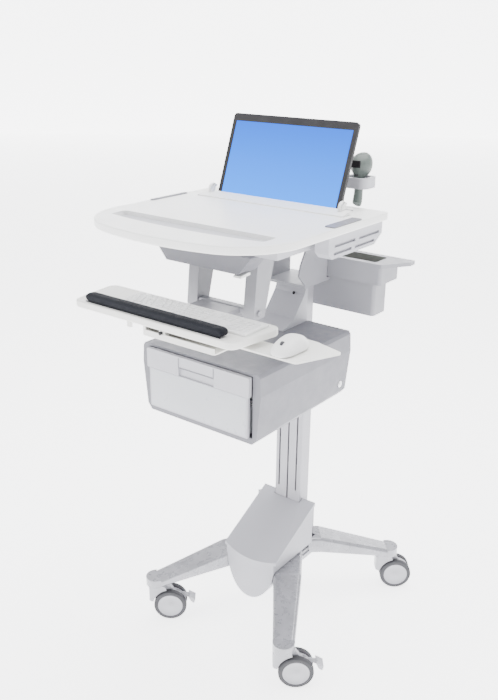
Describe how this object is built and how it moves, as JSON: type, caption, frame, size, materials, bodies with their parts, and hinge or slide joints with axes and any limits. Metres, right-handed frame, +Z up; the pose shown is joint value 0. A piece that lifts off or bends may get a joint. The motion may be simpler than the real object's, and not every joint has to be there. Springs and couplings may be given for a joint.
{
  "type": "medication cart",
  "caption": "Height-adjustable medication cart with laptop worksurface, folding keyboard tray, drawer, bin and an X-base on casters.",
  "frame": {"origin": "on the floor, under the axis of the column", "axes": "+Z up, +X to the right as seen from the front, +Y to the back"},
  "size_m": [0.6938, 0.8931, 1.4866],
  "materials": {
    "white_shell": "satin moulded",
    "grey_shell": "fine-grained moulded",
    "cast_aluminium": "satin, powder coated",
    "anodised_aluminium": "anodised satin",
    "grey_paint": "satin powder coat",
    "drawer_plastic": "smooth",
    "black_plastic": "fine-grained",
    "reader_plastic": "fine-grained",
    "soft_cover": "smooth knit over foam",
    "caster_plastic": "smooth",
    "tyre": "matt",
    "steel": "bright",
    "lock_chrome": "polished",
    "screen_glass": "glossy",
    "bin_plastic": "smooth"
  },
  "bodies": {
    "base": {"base_frame": "cast_aluminium", "base_hood": "white_shell", "base_rear_cover": "grey_shell", "riser": "anodised_aluminium", "riser_foot": "cast_aluminium", "riser_bolts": "steel", "riser_bushing": "black_plastic", "gas_spring_cylinder": "steel"},
    "head": {"mast": "anodised_aluminium", "gas_spring_rod": "steel", "head_bracket": "grey_paint", "drawer_housing": "grey_shell", "drawer_bracket": "grey_paint", "drawer_mount_cover": "grey_shell", "drawer_rails": "steel", "lock_body": "lock_chrome", "laptop_bay": "grey_shell", "worksurface": "white_shell", "side_strips": "grey_shell", "laptop_ledge": "white_shell", "laptop_base": "black_plastic", "bin_bracket": "grey_paint", "scanner_holder": "grey_shell", "arm_housing": "grey_shell", "arm_pivot_shaft": "steel"},
    "lid": {"laptop_lid": "black_plastic", "laptop_screen": "screen_glass"},
    "clip_left": {"laptop_clip_left": "white_shell"},
    "clip_right": {"laptop_clip_right": "white_shell"},
    "drawer": {"drawer_box": "drawer_plastic", "drawer_front": "white_shell", "drawer_runners": "steel"},
    "lock": {"lock_cylinder": "lock_chrome"},
    "arms": {"keyboard_arm_left": "cast_aluminium", "keyboard_arm_right": "cast_aluminium"},
    "tray_carrier": {"tray_bracket": "grey_paint"},
    "tray": {"keyboard_tray": "white_shell", "palm_rest": "soft_cover", "keyboard": "white_shell", "mouse_pocket": "white_shell"},
    "knob": {"tray_knob": "black_plastic"},
    "mouse_leaf": {"mouse_tray": "white_shell"},
    "pointer": {"mouse": "white_shell"},
    "lever": {"release_lever": "white_shell"},
    "waste": {"bin": "bin_plastic"},
    "reader": {"scanner": "reader_plastic"},
    "caster_fl": {"caster_fork_fl": "caster_plastic"},
    "wheels_fl": {"caster_core_fl": "caster_plastic", "caster_tyres_fl": "tyre"},
    "caster_fr": {"caster_fork_fr": "caster_plastic"},
    "wheels_fr": {"caster_core_fr": "caster_plastic", "caster_tyres_fr": "tyre"},
    "caster_rl": {"caster_fork_rl": "caster_plastic"},
    "wheels_rl": {"caster_core_rl": "caster_plastic", "caster_tyres_rl": "tyre"},
    "caster_rr": {"caster_fork_rr": "caster_plastic"},
    "wheels_rr": {"caster_core_rr": "caster_plastic", "caster_tyres_rr": "tyre"},
    "pedal_fl": {"brake_pedal_fl": "caster_plastic"},
    "pedal_fr": {"brake_pedal_fr": "caster_plastic"}
  },
  "joints": [
    {"name": "lift", "type": "slide", "parent": "base", "child": "head", "axis": [0, 0, 1], "range_m": [-0.28, 0]},
    {"name": "swivel_fl", "type": "hinge", "parent": "base", "child": "caster_fl", "pos_m": [-0.235, -0.364, 0.125], "axis": [0, 0, 1], "continuous": true},
    {"name": "roll_fl", "type": "hinge", "parent": "caster_fl", "child": "wheels_fl", "pos_m": [-0.20742, -0.34245, 0.05], "axis": [-0.6157, 0.788, 0], "continuous": true},
    {"name": "swivel_fr", "type": "hinge", "parent": "base", "child": "caster_fr", "pos_m": [0.235, -0.364, 0.125], "axis": [0, 0, 1], "continuous": true},
    {"name": "roll_fr", "type": "hinge", "parent": "caster_fr", "child": "wheels_fr", "pos_m": [0.26258, -0.34245, 0.05], "axis": [-0.6157, 0.788, 0], "continuous": true},
    {"name": "swivel_rl", "type": "hinge", "parent": "base", "child": "caster_rl", "pos_m": [-0.235, 0.209, 0.125], "axis": [0, 0, 1], "continuous": true},
    {"name": "roll_rl", "type": "hinge", "parent": "caster_rl", "child": "wheels_rl", "pos_m": [-0.20742, 0.23055, 0.05], "axis": [-0.6157, 0.788, 0], "continuous": true},
    {"name": "swivel_rr", "type": "hinge", "parent": "base", "child": "caster_rr", "pos_m": [0.235, 0.209, 0.125], "axis": [0, 0, 1], "continuous": true},
    {"name": "roll_rr", "type": "hinge", "parent": "caster_rr", "child": "wheels_rr", "pos_m": [0.26258, 0.23055, 0.05], "axis": [-0.6157, 0.788, 0], "continuous": true},
    {"name": "brake_fl", "type": "hinge", "parent": "caster_fl", "child": "pedal_fl", "pos_m": [-0.18614, -0.32583, 0.08], "axis": [-0.6157, 0.788, 0], "range_deg": [0, 18]},
    {"name": "brake_fr", "type": "hinge", "parent": "caster_fr", "child": "pedal_fr", "pos_m": [0.28386, -0.32583, 0.08], "axis": [-0.6157, 0.788, 0], "range_deg": [0, 18]},
    {"name": "drawer_slide", "type": "slide", "parent": "head", "child": "drawer", "axis": [0, -1, 0], "range_m": [0, 0.33]},
    {"name": "lock_turn", "type": "hinge", "parent": "head", "child": "lock", "pos_m": [0.175, -0.054, 0.792], "axis": [1, 0, 0], "range_deg": [0, 90]},
    {"name": "arm_fold", "type": "hinge", "parent": "head", "child": "arms", "pos_m": [0, -0.3, 1.19], "axis": [1, 0, 0], "range_deg": [0, 35]},
    {"name": "tray_level", "type": "hinge", "parent": "arms", "child": "tray_carrier", "pos_m": [0, -0.331, 1.052], "axis": [1, 0, 0], "range_deg": [-35, 0]},
    {"name": "tray_tilt", "type": "hinge", "parent": "tray_carrier", "child": "tray", "pos_m": [0, -0.44, 1.057], "axis": [1, 0, 0], "range_deg": [-10, 10]},
    {"name": "mouse_leaf_slide", "type": "slide", "parent": "tray", "child": "mouse_leaf", "axis": [1, 0, 0], "range_m": [-0.05, 0]},
    {"name": "mouse_glide", "type": "slide", "parent": "mouse_leaf", "child": "pointer", "axis": [1, 0, 0], "range_m": [0, 0.05]},
    {"name": "knob_turn", "type": "hinge", "parent": "tray", "child": "knob", "pos_m": [0.042, -0.6, 1.0635], "axis": [0, 1, 0], "range_deg": [0, 90]},
    {"name": "lid_tilt", "type": "hinge", "parent": "head", "child": "lid", "pos_m": [0, -0.133, 1.247], "axis": [-1, 0, 0], "range_deg": [-2, 10]},
    {"name": "clip_left_slide", "type": "slide", "parent": "head", "child": "clip_left", "axis": [-1, 0, 0], "range_m": [0, 0.012]},
    {"name": "clip_right_slide", "type": "slide", "parent": "head", "child": "clip_right", "axis": [1, 0, 0], "range_m": [0, 0.012]},
    {"name": "release", "type": "hinge", "parent": "head", "child": "lever", "pos_m": [0.107, -0.382, 1.166], "axis": [1, 0, 0], "range_deg": [0, 15], "stiffness_Nm_per_rad": 0.05, "springref_deg": -17.19},
    {"name": "bin_lift_off", "type": "slide", "parent": "head", "child": "waste", "axis": [0, 0, 1], "range_m": [0, 0.1]},
    {"name": "scanner_lift_off", "type": "slide", "parent": "head", "child": "reader", "axis": [0, 0, 1], "range_m": [0, 0.12]}
  ],
  "couplings": [
    {"joint": "tray_level", "follows": "arm_fold", "ratio": -1},
    {"joint": "mouse_glide", "follows": "mouse_leaf_slide", "ratio": -1}
  ]
}
